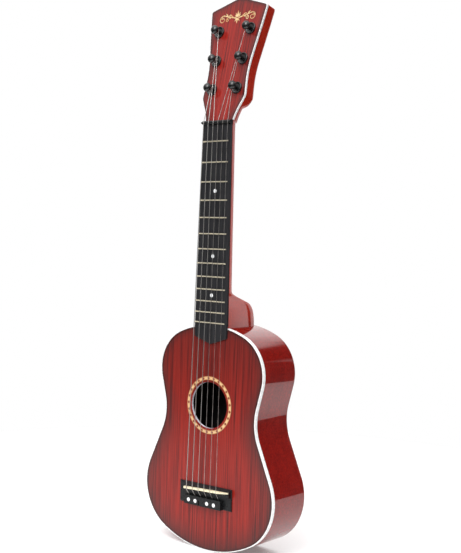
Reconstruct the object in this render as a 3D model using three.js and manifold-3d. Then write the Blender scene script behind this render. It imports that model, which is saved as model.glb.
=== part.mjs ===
// A small six-string acoustic guitar, built as separate pieces.
// Millimetres. X to the right seen from the front, the front faces -Y, +Z runs up the neck from the tail.
// While it is built, y = 0 is the front plane of the soundboard and z = 0 is the tail.
import * as THREE from 'three';
import { mergeVertices } from 'three/addons/utils/BufferGeometryUtils.js';
import Module from 'manifold-3d';

const wasm = await Module();
wasm.setup();

// Driving dimensions
const headZ = 489.4; // height of the headstock's lower edge above the tail
const nutZ = 485.3; // lower edge of the nut
const bodyDepth = 59.5;
const glueGap = 0.2; // between pieces that are glued together
const turnedGap = 0.3; // between pieces that meet on sloped or cut faces

// Half of the body outline, from the tail to the shoulder: arcs that follow each other tangentially.
// A positive turn bulges outwards, a negative turn is the waist. A last arc closes it on the centre line.
const outlineRuns = [
  { radius: 136.2, turn: 28.5 },
  { radius: 57.9, turn: 85.7 },
  { straight: 43.9 },
  { radius: 58.7, turn: -38.9 },
  { straight: 23.1 },
  { radius: 47.3, turn: 80.7 },
];
const outlineStep = 9; // degrees of arc for each chord

// Shell of the body
const boardThickness = 3;
const backThickness = 2.5;
const sideThickness = 2.5;
const bindingWidth = 1;
const bindingDepth = 4.2;
const holeZ = 166.4;
const holeRadius = 26.4;
const rosetteInner = 28.2;
const rosetteOuter = 33;
const rosetteThickness = 0.3;

// Inside of the body
const liningWidth = 6;
const liningDepth = 8;
const blockDepthZ = 26;
const neckBlockHalfWidth = 22;
const tailBlockHalfWidth = 26;
const braceWidth = 6;
const braces = { brace_upper: { z: 211, halfLength: 62 }, brace_lower: { z: 124, halfLength: 60 } };

// Fretboard and frets
const boardTop = -2.1; // front face of the fretboard
const boardBack = 0.9; // its back face, where it lies on the neck
const nutHalfWidth = 20.3;
const jointZ = 257.8;
const jointHalfWidth = 23.9;
const boardEndZ = 244.2;
const boardTipZ = 236.4;
const fretCount = 13;
const firstFretZ = 466;
const firstFretGap = 23.6; // from the first fret to the second
const fretRatio = 0.9394; // each gap to the one before it
const fretWidth = 1.5;
const fretHeight = 0.9;
const fretShort = 3.35; // the frets stop this far from the treble edge
const nutThickness = 4;
const nutTop = -5;
const nutLug = { length: 2, radius: 1 }; // small lug at the bass end of the nut

// Headstock, in its own plane: x across, s up the face from the nut, h out of the face
const headTilt = 12.45;
const headY = 0.72;
const headThickness = 16.2;
const veneerThickness = 2.2;
const headBindingWidth = 1;
const headProfile = [[0.4, 20.9], [4, 21.6], [10, 23.6], [16, 26.2], [22, 29.1], [27, 31.2], [29.5, 31.6],
  [43.5, 30.4], [56, 29.9], [69.6, 30.9], [82, 32.9], [95.7, 35.3], [115, 38.5], [132.5, 41.2], [134.6, 40.9],
  [136, 39.7], [136.9, 38], [146.4, 9], [147.6, 4.5], [148.1, 1.5]];

// Pegs, from the nut upwards: place of each pair on the headstock
const pegPairs = [{ s: 37.5, x: 18.3 }, { s: 72.2, x: 19.5 }, { s: 107.9, x: 23 }];
const postRadius = 2.4;
const boreRadius = 4.2;
const wrapRadius = 2.85;
const wrapTurns = { treble: 0.5, bass: 1.75 };
const wrapPitch = 1.15;
const wrapTop = 4.4; // height above the face where a string reaches its post
const postEnd = -headThickness - 3.4; // the posts stick out behind into their keys

// Strings: number 1 is the thinnest, on the right
const stringRadii = [0.22, 0.24, 0.28, 0.34, 0.4, 0.46];
const nutSpacing = 7.06;
const bridgeSpacing = 8.84;

// Bridge and saddle
const bridgeLow = 51;
const bridgeHigh = 75.4;
const bridgeHalfWidth = 38.6;
const plateThickness = 2.2;
const blockHalfWidth = 27;
const blockHeight = 7;
const ribHeight = 5.8;
const ribLeft = -31;
const ribRight = 38;
const bridgeTurn = 0.8; // degrees that the bridge is turned on the soundboard
const bridgeCentreZ = 63.2;
const slant = 0.05; // rise of the saddle from left to right
const blockEdgeZ = 61.3;
const blockEdgeSlant = 0.022;
const saddleZ = 70.5;
const saddleThickness = 2.4;
const saddleTop = 9;
const saddleLeft = -28;
const saddleRight = 37.6;
const tieHeight = 4;
const tieHoleRadius = 0.95;
const dotRadius = 2.25;
const dotThickness = 0.9;
const dotX = [-20.4, -10.4, 7.3, 17.4];
const dotZ = 55.8;
const blockNotchX = -4.9;

// Colours and surfaces
const surfaces = {
  faceRed: [0xb4362c, 0.35, 0],
  gloss: [0x7d1210, 0.15, 0],
  white: [0xf2f0ec, 0.35, 0],
  black: [0x17171a, 0.4, 0],
  blackMatte: [0x1c1c20, 0.55, 0],
  cream: [0xe6d7a8, 0.45, 0],
  fretMetal: [0xd8c9a0, 0.3, 0.8],
  wire: [0xc9c4bd, 0.35, 0.7],
  timber: [0xc79f6b, 0.75, 0],
  rosette: [0xd9b98a, 0.4, 0],
};

const guitar = new THREE.Group();
const headstock = new THREE.Group();
headstock.position.set(0, headY, headZ);
headstock.rotation.x = THREE.MathUtils.degToRad(90 - headTilt);
guitar.add(headstock);

function place(name, geometry, surface, parent = guitar) {
  const [color, roughness, metalness] = surfaces[surface];
  const mesh = new THREE.Mesh(geometry, new THREE.MeshStandardMaterial({ color, roughness, metalness }));
  mesh.name = name;
  parent.add(mesh);
  return mesh;
}

// Booleans
function toSolid(geometry) {
  const bare = geometry.clone();
  bare.deleteAttribute('normal');
  bare.deleteAttribute('uv');
  const merged = mergeVertices(bare, 1e-4);
  return new wasm.Manifold(new wasm.Mesh({
    numProp: 3,
    vertProperties: new Float32Array(merged.attributes.position.array),
    triVerts: new Uint32Array(merged.index.array),
  }));
}

function toGeometry(solid) {
  const mesh = solid.getMesh();
  const geometry = new THREE.BufferGeometry();
  geometry.setAttribute('position', new THREE.BufferAttribute(mesh.vertProperties, 3));
  geometry.setIndex(new THREE.BufferAttribute(mesh.triVerts, 1));
  return geometry.toNonIndexed();
}

function cut(geometry, ...tools) {
  return toGeometry(tools.reduce((solid, tool) => solid.subtract(toSolid(tool)), toSolid(geometry)));
}

function join(geometry, ...others) {
  return toGeometry(others.reduce((solid, other) => solid.add(toSolid(other)), toSolid(geometry)));
}

function overlap(geometry, other) {
  return toGeometry(toSolid(geometry).intersect(toSolid(other)));
}

// Plain shapes
function box(x, y, z) {
  const geometry = new THREE.BoxGeometry(x[1] - x[0], y[1] - y[0], z[1] - z[0]);
  return geometry.translate((x[0] + x[1]) / 2, (y[0] + y[1]) / 2, (z[0] + z[1]) / 2);
}

// A plate cut from an outline in the X-Z plane, between two depths
function plate(shape, front, back) {
  const geometry = new THREE.ExtrudeGeometry(shape, { depth: back - front, bevelEnabled: false, curveSegments: 24 });
  return geometry.rotateX(Math.PI / 2).translate(0, back, 0);
}

// A solid of revolution about a line along local Z
function turned(profile, sides) {
  const points = profile.map(([radius, h]) => new THREE.Vector2(radius, h));
  return new THREE.LatheGeometry(points, sides).rotateX(Math.PI / 2);
}

// A bar whose section in the Y-Z plane is a list of [z, y], between two values of x
function barAlongX(section, x0, x1) {
  const shape = new THREE.Shape(section.map(([z, y]) => new THREE.Vector2(-z, y)));
  const geometry = new THREE.ExtrudeGeometry(shape, { depth: x1 - x0, bevelEnabled: false });
  return geometry.rotateY(Math.PI / 2).translate(x0, 0, 0);
}

// A solid through sections that all have the same number of points
function loft(sections) {
  const count = sections[0].length;
  const last = sections.length - 1;
  const index = [];
  for (let i = 0; i < last; i += 1) {
    for (let j = 0; j < count; j += 1) {
      const a = i * count + j;
      const b = i * count + ((j + 1) % count);
      index.push(a, b + count, b, a, a + count, b + count);
    }
  }
  for (let j = 1; j < count - 1; j += 1) {
    index.push(0, j, j + 1);
    index.push(last * count, last * count + j + 1, last * count + j);
  }
  const geometry = new THREE.BufferGeometry();
  const positions = sections.flat().flatMap((point) => [point.x, point.y, point.z]);
  geometry.setAttribute('position', new THREE.Float32BufferAttribute(positions, 3));
  geometry.setIndex(index);
  return geometry.toNonIndexed();
}

// A curve that an extrusion follows from corner to corner
class CornerPath extends THREE.Curve {
  constructor(corners) {
    super();
    this.corners = corners;
  }

  getPointAt(u, target = new THREE.Vector3()) {
    return target.copy(this.corners[Math.round(u * (this.corners.length - 1))]);
  }

  getTangentAt(u, target = new THREE.Vector3()) {
    const i = Math.round(u * (this.corners.length - 1));
    const before = this.corners[Math.max(i - 1, 0)];
    const after = this.corners[Math.min(i + 1, this.corners.length - 1)];
    const here = this.corners[i];
    const arriving = here.clone().sub(before).normalize();
    const leaving = after.clone().sub(here).normalize();
    return target.copy(arriving.add(leaving)).normalize();
  }
}

function wireAlong(corners, radius) {
  const circle = new THREE.Shape().absarc(0, 0, radius, 0, 2 * Math.PI);
  const options = { steps: corners.length - 1, extrudePath: new CornerPath(corners), curveSegments: 3 };
  return new THREE.ExtrudeGeometry(circle, options);
}

// Body outline, moved inwards by an inset
function halfOutline(inset) {
  const points = [new THREE.Vector2(0, inset)];
  let heading = 0;
  const arc = (radius, turn) => {
    const steps = Math.max(2, Math.ceil(Math.abs(turn) / outlineStep));
    const bend = THREE.MathUtils.degToRad(turn) / steps;
    const chord = 2 * radius * Math.sin(Math.abs(bend) / 2);
    for (let i = 0; i < steps; i += 1) {
      const direction = heading + bend / 2;
      const end = points.at(-1).clone();
      points.push(end.add(new THREE.Vector2(chord * Math.cos(direction), chord * Math.sin(direction))));
      heading += bend;
    }
  };
  for (const run of outlineRuns) {
    if (run.straight) {
      const end = points.at(-1).clone();
      points.push(end.add(new THREE.Vector2(run.straight * Math.cos(heading), run.straight * Math.sin(heading))));
    } else {
      arc(run.radius - Math.sign(run.turn) * inset, run.turn);
    }
  }
  const left = Math.PI - heading;
  arc(points.at(-1).x / Math.sin(left), THREE.MathUtils.radToDeg(left));
  points.at(-1).x = 0;
  return points;
}

function mirrored(points) {
  return points.map((point) => new THREE.Vector2(-point.x, point.y));
}

function fullOutline(inset) {
  const right = halfOutline(inset);
  return [...right, ...mirrored(right.slice(1, -1)).reverse()];
}

function outlinePlate(inset, front, back, holes = []) {
  const shape = new THREE.Shape(fullOutline(inset));
  shape.holes.push(...holes);
  return plate(shape, front, back);
}

function circlePath(x, z, radius) {
  return new THREE.Path().absarc(x, z, radius, 0, 2 * Math.PI, true);
}

function outlineRing(inset, width, front, back) {
  return outlinePlate(inset, front, back, [new THREE.Path(fullOutline(inset + width).reverse())]);
}

// Body
function makeBoards() {
  const boardInset = bindingWidth + glueGap;
  const board = outlinePlate(boardInset, 0, boardThickness, [circlePath(0, holeZ, holeRadius)]);
  place('soundboard', board, 'faceRed');
  place('body_binding', outlineRing(0, bindingWidth, 0, bindingDepth), 'white');
  place('back_plate', outlinePlate(0, bodyDepth - backThickness, bodyDepth), 'gloss');
  const ring = new THREE.Shape().absarc(0, holeZ, rosetteOuter, 0, 2 * Math.PI);
  ring.holes.push(circlePath(0, holeZ, rosetteInner));
  place('rosette', plate(ring, -glueGap / 2 - rosetteThickness, -glueGap / 2), 'rosette');
}

function makeSides() {
  const outer = halfOutline(0);
  const inner = halfOutline(sideThickness);
  for (const points of [outer, inner]) {
    points.at(0).x = glueGap / 2;
    points.at(-1).x = glueGap / 2;
  }
  const right = [...outer, ...inner.reverse()];
  const front = bindingDepth + glueGap;
  const back = bodyDepth - backThickness - glueGap;
  place('side_right', plate(new THREE.Shape(right), front, back), 'gloss');
  place('side_left', plate(new THREE.Shape(mirrored(right).reverse()), front, back), 'gloss');
}

function makeInside() {
  const inset = sideThickness + glueGap;
  const front = boardThickness + glueGap;
  const back = bodyDepth - backThickness - glueGap;
  const topZ = jointZ + 10;
  const blockX = [-neckBlockHalfWidth, neckBlockHalfWidth];
  const widerX = blockX.map((x) => x + Math.sign(x) * turnedGap);
  const blockZ = jointZ - inset - blockDepthZ;
  const inside = outlinePlate(inset, front, back);
  place('neck_block', overlap(inside, box(blockX, [0, bodyDepth], [blockZ, topZ])), 'timber');

  const tailX = [-tailBlockHalfWidth, tailBlockHalfWidth];
  const tailY = [front + liningDepth + glueGap, back - liningDepth - glueGap];
  place('tail_block', overlap(inside, box(tailX, tailY, [-1, inset + blockDepthZ])), 'timber');

  const room = box(widerX, [0, bodyDepth], [blockZ - turnedGap, topZ]);
  place('lining_front', cut(outlineRing(inset, liningWidth, front, front + liningDepth), room), 'timber');
  place('lining_back', cut(outlineRing(inset, liningWidth, back - liningDepth, back), room), 'timber');

  for (const [name, { z, halfLength }] of Object.entries(braces)) {
    const span = [z - braceWidth / 2, z + braceWidth / 2];
    place(name, box([-halfLength, halfLength], [front, front + liningDepth], span), 'timber');
  }
}

// Neck: stations from the heel to the crown of the headstock
const voluteReach = 8; // the shaft is straight up to this far below the nut
const headRoundness = [2.4, 20]; // of the section at the lower and the upper end of the volute
const heelProfile = [[250, 54.4], [262, 53.8], [270, 52.4], [276, 50.2], [280.5, 46.6], [283, 43], [285, 38.3],
  [288.5, 27.5], [291, 21], [293.5, 18], [299, 16.2], [306, 15.6]];
const roundNeck = 2.3; // roundness of the neck's section
const heelSquareness = 12; // added to it in the heel
const heelTaper = 0.1; // share of its width that the heel loses towards the back
const shaftDepthAtNut = 15;
const volute = { from: 17, to: 29 }; // where the round neck squares up into the headstock
const sectionPoints = 12;

// Points of one section, from the left front corner round the back to the right front corner.
// A roundness of 2 is an ellipse and more is squarer. The taper narrows the section towards the back.
function neckSection(origin, backwards, halfWidth, depth, roundness, taper = 0) {
  const points = [];
  for (let i = 0; i <= sectionPoints; i += 1) {
    const angle = (Math.PI * i) / sectionPoints;
    const across = -Math.sign(Math.cos(angle)) * Math.abs(Math.cos(angle)) ** (2 / roundness);
    const deep = Math.sin(angle) ** (2 / roundness);
    const point = origin.clone().addScaledVector(backwards, depth * deep);
    point.x += halfWidth * across * (1 - taper * deep * (2 - deep));
    points.push(point);
  }
  return points;
}

function boardHalfWidth(z) {
  const slope = (jointHalfWidth - nutHalfWidth) / (headZ - jointZ);
  return nutHalfWidth + (headZ - z) * slope;
}

function headPoint(x, s, h) {
  return new THREE.Vector3(x, s, h).applyEuler(headstock.rotation).add(headstock.position);
}

function makeNeck() {
  const straightBack = new THREE.Vector3(0, 1, 0);
  const front = boardBack + glueGap;
  const neckHalf = (z) => boardHalfWidth(z) - glueGap;
  const sections = heelProfile.map(([z, back]) => {
    const share = THREE.MathUtils.clamp((back - 17) / 12, 0, 1);
    const origin = new THREE.Vector3(0, front, z);
    const roundness = roundNeck + heelSquareness * share;
    return neckSection(origin, straightBack, neckHalf(z), back - front, roundness, heelTaper * share);
  });
  const shaftStart = heelProfile.at(-1);
  const shaftSteps = 4;
  for (let i = 1; i <= shaftSteps; i += 1) {
    const share = i / shaftSteps;
    const z = THREE.MathUtils.lerp(shaftStart[0], nutZ - voluteReach, share);
    const back = THREE.MathUtils.lerp(shaftStart[1], shaftDepthAtNut, share);
    const origin = new THREE.Vector3(0, front, z);
    sections.push(neckSection(origin, straightBack, neckHalf(z), back - front, roundNeck));
  }
  const backwards = headPoint(0, 0, -1).sub(headPoint(0, 0, 0));
  const underNut = new THREE.Vector3(0, front, nutZ + nutThickness - glueGap);
  sections.push(neckSection(underNut, backwards, nutHalfWidth, shaftDepthAtNut, roundNeck));
  const coreFront = veneerThickness + turnedGap;
  for (const [s, halfWidth] of headProfile) {
    const share = THREE.MathUtils.clamp((s - volute.from) / (volute.to - volute.from), 0, 1);
    const roundness = THREE.MathUtils.lerp(...headRoundness, share);
    const depth = headThickness - coreFront;
    sections.push(neckSection(headPoint(0, s, -coreFront), backwards, halfWidth, depth, roundness));
  }
  const bores = pegPlaces().map(({ x, s }) => {
    const bore = new THREE.CylinderGeometry(boreRadius, boreRadius, 40, 16);
    const centre = headPoint(x, s, 0);
    return bore.rotateX(headstock.rotation.x + Math.PI / 2).translate(centre.x, centre.y, centre.z);
  });
  const bodyRoom = outlinePlate(-turnedGap, -1, bodyDepth + 1);
  place('neck', cut(loft(sections), bodyRoom, ...bores), 'gloss');
}

function makeFretboard() {
  const corner = (z, side) => new THREE.Vector2(side * boardHalfWidth(z), z);
  const top = nutZ - glueGap;
  const ends = [corner(boardEndZ, -1), new THREE.Vector2(0, boardTipZ), corner(boardEndZ, 1)];
  const overBody = new THREE.Shape([...ends, corner(top, 1), corner(top, -1)]);
  const start = jointZ + turnedGap;
  const overNeck = new THREE.Shape([corner(start, -1), corner(start, 1), corner(top, 1), corner(top, -1)]);
  const board = join(plate(overBody, boardTop, -glueGap), plate(overNeck, boardTop, boardBack));
  place('fretboard', board, 'blackMatte');
}

function makeFrets() {
  for (let n = 1; n <= fretCount; n += 1) {
    const z = firstFretZ - (firstFretGap * (1 - fretRatio ** (n - 1))) / (1 - fretRatio);
    const halfWidth = boardHalfWidth(z);
    const base = boardTop - glueGap / 2;
    const crown = [];
    for (let angle = 0; angle <= 180; angle += 30) {
      const turn = THREE.MathUtils.degToRad(angle);
      crown.push([z + (Math.cos(turn) * fretWidth) / 2, base - Math.sin(turn) * fretHeight]);
    }
    const name = `fret_${String(n).padStart(2, '0')}`;
    place(name, barAlongX(crown, -halfWidth, halfWidth - fretShort), 'fretMetal');
  }
}

function makeNut() {
  const half = boardHalfWidth(nutZ) + 0.2;
  const top = nutZ + nutThickness;
  const foot = boardBack;
  const section = [[nutZ, foot], [nutZ, nutTop + 0.8], [nutZ + 0.8, nutTop], [top - 1.2, nutTop],
    [top, nutTop + 1.2], [top, foot]];
  const { length, radius } = nutLug;
  const lug = new THREE.CylinderGeometry(radius, radius, length + 1, 12).rotateZ(Math.PI / 2);
  lug.translate(-half - (length - 1) / 2, nutTop + radius + 0.4, nutZ + nutThickness / 2);
  place('nut', join(barAlongX(section, -half, half), lug), 'black');
}

// Headstock facing, in the plane of the headstock
function headOutline(inset) {
  const rise = headProfile.map(([s, halfWidth]) => new THREE.Vector2(halfWidth, s));
  const moved = rise.map((point, i) => {
    const before = rise[Math.max(i - 1, 0)];
    const after = rise[Math.min(i + 1, rise.length - 1)];
    const along = after.clone().sub(before).normalize();
    return point.clone().add(new THREE.Vector2(-along.y, along.x).multiplyScalar(inset));
  });
  moved[0].set(headProfile[0][1] - inset, headProfile[0][0]);
  moved.at(-1).x = Math.max(moved.at(-1).x, 1);
  return [...moved, ...mirrored(moved).reverse()];
}

function pegPlaces() {
  const right = pegPairs.map(({ s, x }) => ({ s, x }));
  const left = pegPairs.map(({ s, x }) => ({ s, x: -x })).reverse();
  return [...right, ...left];
}

function makeHeadstockFacing() {
  const binding = new THREE.Shape([...headOutline(0), ...headOutline(headBindingWidth).reverse()]);
  const options = { depth: veneerThickness, bevelEnabled: false, curveSegments: 8 };
  const bindingRing = new THREE.ExtrudeGeometry(binding, options).translate(0, 0, -veneerThickness);
  place('headstock_binding', bindingRing, 'white', headstock);

  const veneer = new THREE.Shape(headOutline(headBindingWidth + glueGap));
  veneer.holes.push(...pegPlaces().map(({ x, s }) => circlePath(x, s, boreRadius)));
  const facing = new THREE.ExtrudeGeometry(veneer, options).translate(0, 0, -veneerThickness);
  place('headstock_veneer', facing, 'faceRed', headstock);
}

// Pegs
function makePegs() {
  const sleeve = boreRadius - turnedGap;
  const bore = postRadius + 0.25;
  const bushing = [[bore, -7], [sleeve, -7], [sleeve, turnedGap], [6.9, turnedGap], [6.9, 1.7], [6.1, 2.2],
    [4.6, 1.1], [bore, 1.1], [bore, -7]];
  const post = [[0, postEnd], [postRadius, postEnd], [postRadius, 1.8], [2.2, 2.2], [2.2, 6.6], [4.1, 7.3],
    [5.1, 8.8], [4.8, 10.6], [3.6, 12.2], [1.8, 13.1], [0, 13.3]];
  const keyTop = -headThickness - turnedGap;
  const hub = turned([[0, keyTop - 3.4], [4.4, keyTop - 3.4], [5, keyTop - 0.6], [5, keyTop], [0, keyTop]], 16);
  const wing = new THREE.Shape();
  wing.moveTo(-3.6, keyTop - 1);
  wing.lineTo(3.6, keyTop - 1);
  wing.bezierCurveTo(9, keyTop - 2, 9.4, keyTop - 9, 4, keyTop - 9.2);
  wing.lineTo(-4, keyTop - 9.2);
  wing.bezierCurveTo(-9.4, keyTop - 9, -9, keyTop - 2, -3.6, keyTop - 1);
  const thickness = 4.4;
  const paddle = new THREE.ExtrudeGeometry(wing, { depth: thickness, bevelEnabled: false, curveSegments: 5 });
  paddle.translate(0, 0, -thickness / 2).rotateX(Math.PI / 2).rotateZ(Math.PI / 2);
  const socketRadius = postRadius + 0.25;
  const socketEnd = postEnd - turnedGap;
  const socket = turned([[0, socketEnd], [socketRadius, socketEnd], [socketRadius, 0], [0, 0]], 16);
  const key = cut(join(hub, paddle), socket);
  pegPlaces().forEach(({ x, s }, i) => {
    const number = i + 1;
    place(`peg_bushing_${number}`, turned(bushing, 12), 'black', headstock).position.set(x, s, 0);
    place(`peg_post_${number}`, turned(post, 10), 'black', headstock).position.set(x, s, 0);
    place(`peg_button_${number}`, key.clone(), 'black', headstock).position.set(x, s, 0);
  });
}

// Bridge
function slanted(z, slope, x) {
  return z + slope * x;
}

function makeBridge() {
  const base = -glueGap;
  const bevel = 1;
  const plateSection = [[bridgeLow, base], [bridgeLow, base - plateThickness + bevel],
    [bridgeLow + bevel, base - plateThickness], [bridgeHigh - bevel, base - plateThickness],
    [bridgeHigh, base - plateThickness + bevel], [bridgeHigh, base]];
  const turn = THREE.MathUtils.degToRad(bridgeTurn);
  const turnedBar = (section, x0, x1) => {
    const bar = barAlongX(section, x0, x1).translate(0, 0, -bridgeCentreZ);
    return bar.rotateY(-turn).translate(0, 0, bridgeCentreZ);
  };
  const ground = turnedBar(plateSection, -bridgeHalfWidth, bridgeHalfWidth);
  const low = base - 1;
  const ribSection = [[66, low], [66.8, -ribHeight], [72.6, -ribHeight], [bridgeHigh - 0.4, -plateThickness],
    [bridgeHigh - 0.4, low]];
  const rib = turnedBar(ribSection, ribLeft, ribRight);
  const lowEdge = (x) => new THREE.Vector2(x, slanted(bridgeLow + 0.1, Math.tan(turn), x));
  const highEdge = (x) => new THREE.Vector2(x, slanted(blockEdgeZ, blockEdgeSlant, x));
  const blockShape = new THREE.Shape([
    lowEdge(-blockHalfWidth), lowEdge(blockHalfWidth), highEdge(blockHalfWidth), highEdge(-blockHalfWidth),
  ]);
  const block = plate(blockShape, -blockHeight, low);

  const slotGap = turnedGap;
  const slotX = [saddleLeft - slotGap, saddleRight + slotGap];
  const slotHalf = saddleThickness / 2 + slotGap;
  const slot = box(slotX, [-20, -2.4], [-slotHalf, slotHalf]).rotateY(-Math.atan(slant)).translate(0, 0, saddleZ);
  const notch = box([blockNotchX - 0.7, blockNotchX + 0.7], [-20, -blockHeight + 1.6], [bridgeLow - 1, 57]);
  const holes = [];
  for (let n = 1; n <= stringRadii.length; n += 1) {
    const x = stringX(n, bridgeSpacing);
    const hole = new THREE.CylinderGeometry(tieHoleRadius, tieHoleRadius, 6, 8).rotateX(Math.PI / 2);
    holes.push(hole.translate(x, -tieHeight, slanted(blockEdgeZ, blockEdgeSlant, x) - 1.5));
  }
  const recesses = dotX.map((x) => {
    const recess = new THREE.CylinderGeometry(dotRadius + 0.25, dotRadius + 0.25, 2, 16);
    return recess.translate(x, -blockHeight - 1 + dotThickness + 0.1, dotZ);
  });
  place('bridge', cut(join(ground, rib, block), slot, notch, ...holes, ...recesses), 'black');

  dotX.forEach((x, i) => {
    const face = -blockHeight - 0.1;
    const profile = [[0, 0], [dotRadius, 0], [dotRadius, dotThickness - 0.2], [dotRadius - 0.4, dotThickness],
      [0, dotThickness + 0.1]];
    const dot = turned(profile, 16).rotateX(Math.PI / 2).translate(x, face + dotThickness, dotZ);
    place(`bridge_dot_${i + 1}`, dot, 'white');
  });
}

function makeSaddle() {
  const foot = -2.7;
  const shape = new THREE.Shape();
  shape.moveTo(saddleLeft, foot);
  shape.lineTo(saddleRight, foot);
  shape.lineTo(saddleRight, -ribHeight - 0.6);
  shape.quadraticCurveTo(32, -saddleTop + 0.6, 24, -saddleTop);
  shape.lineTo(saddleLeft + 1.5, -saddleTop);
  shape.lineTo(saddleLeft, -saddleTop + 1.5);
  const bar = new THREE.ExtrudeGeometry(shape, { depth: saddleThickness, bevelEnabled: false, curveSegments: 4 });
  bar.translate(0, 0, -saddleThickness / 2).rotateY(-Math.atan(slant)).translate(0, 0, saddleZ);
  place('saddle', bar, 'cream');
}

// Strings
function stringX(number, spacing) {
  const middle = (stringRadii.length + 1) / 2;
  return (middle - number) * spacing;
}

function wrapOnPost(from, peg, side, radius, turns) {
  const arm = new THREE.Vector2(from.x - peg.x, from.y - peg.s);
  const reach = Math.acos(radius / arm.length());
  const start = arm.angle() - side * reach;
  const stepsPerTurn = 12;
  const steps = Math.round(turns * stepsPerTurn);
  const points = [];
  for (let i = 0; i <= steps; i += 1) {
    const angle = start - (side * 2 * Math.PI * i) / stepsPerTurn;
    const h = wrapTop - (wrapPitch * i) / stepsPerTurn;
    points.push(headPoint(peg.x + radius * Math.cos(angle), peg.s + radius * Math.sin(angle), h));
  }
  return points;
}

function makeStrings() {
  const pegs = pegPlaces();
  stringRadii.forEach((radius, i) => {
    const number = i + 1;
    const side = number <= 3 ? 1 : -1;
    const atSaddle = stringX(number, bridgeSpacing);
    const atNut = stringX(number, nutSpacing);
    const edge = slanted(blockEdgeZ, blockEdgeSlant, atSaddle);
    const crownZ = slanted(saddleZ, slant, atSaddle);
    const rest = radius + glueGap / 2;
    const nutMiddle = nutZ + 1.4;
    const corners = [
      new THREE.Vector3(atSaddle, -tieHeight, edge - 3),
      new THREE.Vector3(atSaddle, -tieHeight, edge + 0.4),
      new THREE.Vector3(atSaddle, -saddleTop - rest, crownZ - 1.6),
      new THREE.Vector3(atSaddle, -saddleTop - rest, crownZ + 1),
      new THREE.Vector3(atNut, nutTop - rest, nutMiddle),
      new THREE.Vector3(atNut + 0.02 * side, nutTop - rest + 0.3, nutZ + nutThickness - 0.4),
    ];
    const local = new THREE.Vector2(atNut, 2);
    const turns = side > 0 ? wrapTurns.treble : wrapTurns.bass;
    corners.push(...wrapOnPost(local, pegs[i], side, wrapRadius, turns));
    place(`string_${number}`, wireAlong(corners, radius), 'wire');
  });
}

makeBoards();
makeSides();
makeInside();
makeNeck();
makeFretboard();
makeFrets();
makeNut();
makeHeadstockFacing();
makePegs();
makeBridge();
makeSaddle();
makeStrings();

// The origin is under the middle of the whole guitar, at the tail
guitar.updateMatrixWorld(true);
const extent = new THREE.Box3().setFromObject(guitar);
guitar.position.y = -(extent.min.y + extent.max.y) / 2;

export default guitar;
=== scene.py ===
"""A small six-string guitar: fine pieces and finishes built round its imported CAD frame."""
import math

import bmesh
import bpy
from mathutils import Matrix, Vector
from mathutils.geometry import tessellate_polygon


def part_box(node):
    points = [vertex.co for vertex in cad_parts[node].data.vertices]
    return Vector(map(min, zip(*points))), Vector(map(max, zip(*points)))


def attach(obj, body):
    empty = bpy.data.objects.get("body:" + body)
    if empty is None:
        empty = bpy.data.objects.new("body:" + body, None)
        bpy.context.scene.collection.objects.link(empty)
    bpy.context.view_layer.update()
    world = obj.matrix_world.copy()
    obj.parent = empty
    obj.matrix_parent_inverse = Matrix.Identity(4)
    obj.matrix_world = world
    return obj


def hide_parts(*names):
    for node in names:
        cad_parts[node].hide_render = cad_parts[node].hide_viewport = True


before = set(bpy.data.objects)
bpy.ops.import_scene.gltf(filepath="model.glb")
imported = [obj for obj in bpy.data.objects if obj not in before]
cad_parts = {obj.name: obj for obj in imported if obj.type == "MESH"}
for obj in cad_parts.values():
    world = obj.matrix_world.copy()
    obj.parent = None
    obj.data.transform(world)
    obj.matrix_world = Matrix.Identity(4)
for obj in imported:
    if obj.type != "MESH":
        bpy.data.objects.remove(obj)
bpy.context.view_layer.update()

MM = 0.001
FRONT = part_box("soundboard")[0].y  # the soundboard's front plane; shapes below count y back from it, in mm

# Body outline from the tail to the shoulder: (radius, turn in degrees) or (straight length, None)
OUTLINE = ((136.2, 28.5), (57.9, 85.7), (43.9, None), (58.7, -38.9), (23.1, None), (47.3, 80.7))
OUTLINE_STEP = 2.0
BODY_DEPTH = 59.5
BOARD_THICKNESS = 3.0
SIDE_THICKNESS = 2.5
BACK_THICKNESS = 2.5
BINDING_WIDTH = 1.0
BINDING_DEPTH = 4.2
SEAM = 0.06  # hairline between glued pieces
BEVEL_OVER = math.radians(50)  # edges that turn further than this are rounded, where a piece asks for it
HOLE_Z = 166.4
HOLE_RADIUS = 26.4
ROSETTE = (28.5, 33.3)
ROSETTE_DIAMONDS = 25
BURST_REACH = 34.0

# Neck and fretboard
HEAD_Z = 489.4  # lower edge of the headstock
NUT_Z = 485.3
NUT_HALF = 20.3
JOINT_Z = 257.8
JOINT_HALF = 23.9
BOARD_TOP = -2.1
BOARD_BACK = 0.9
BOARD_END_Z = 244.2
BOARD_TIP_Z = 236.4
FRETS = 13
FIRST_FRET_Z = 466.0
FIRST_FRET_GAP = 23.6
FRET_RATIO = 0.9394  # each gap between frets to the one before it
FRET_SHORT = 3.35  # the frets end this far before the board's right edge
FRET_RADIUS = 0.75
NUT_TOP = -5.0
NUT_THICKNESS = 4.0
SLOT_FLOOR = NUT_TOP + 0.15  # of the strings' slots in the nut
# The back of the neck from the body's shoulder up to the nut: (height, depth)
HEEL = ((257.8, 54), (264, 53.6), (270, 52.4), (275, 50.7), (279, 48), (282, 44.8), (284, 40.9), (286, 35),
        (288.5, 27.5), (291, 21), (293.5, 18), (297, 16.4), (303, 15.7), (312, 15.4), (400, 15.2),
        (477.3, 15))
ROUND_NECK = 2.3  # roundness of the neck's section: 2 is an ellipse and more is squarer
HEEL_SQUARENESS = 12
HEEL_TAPER = 0.1
HEEL_START = (17.0, 12.0)  # depth where the section starts to square up, and over how much more
VOLUTE = (17.0, 29.0)  # where the round neck squares up into the headstock
HEAD_SQUARENESS = (2.4, 20.0)

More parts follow.
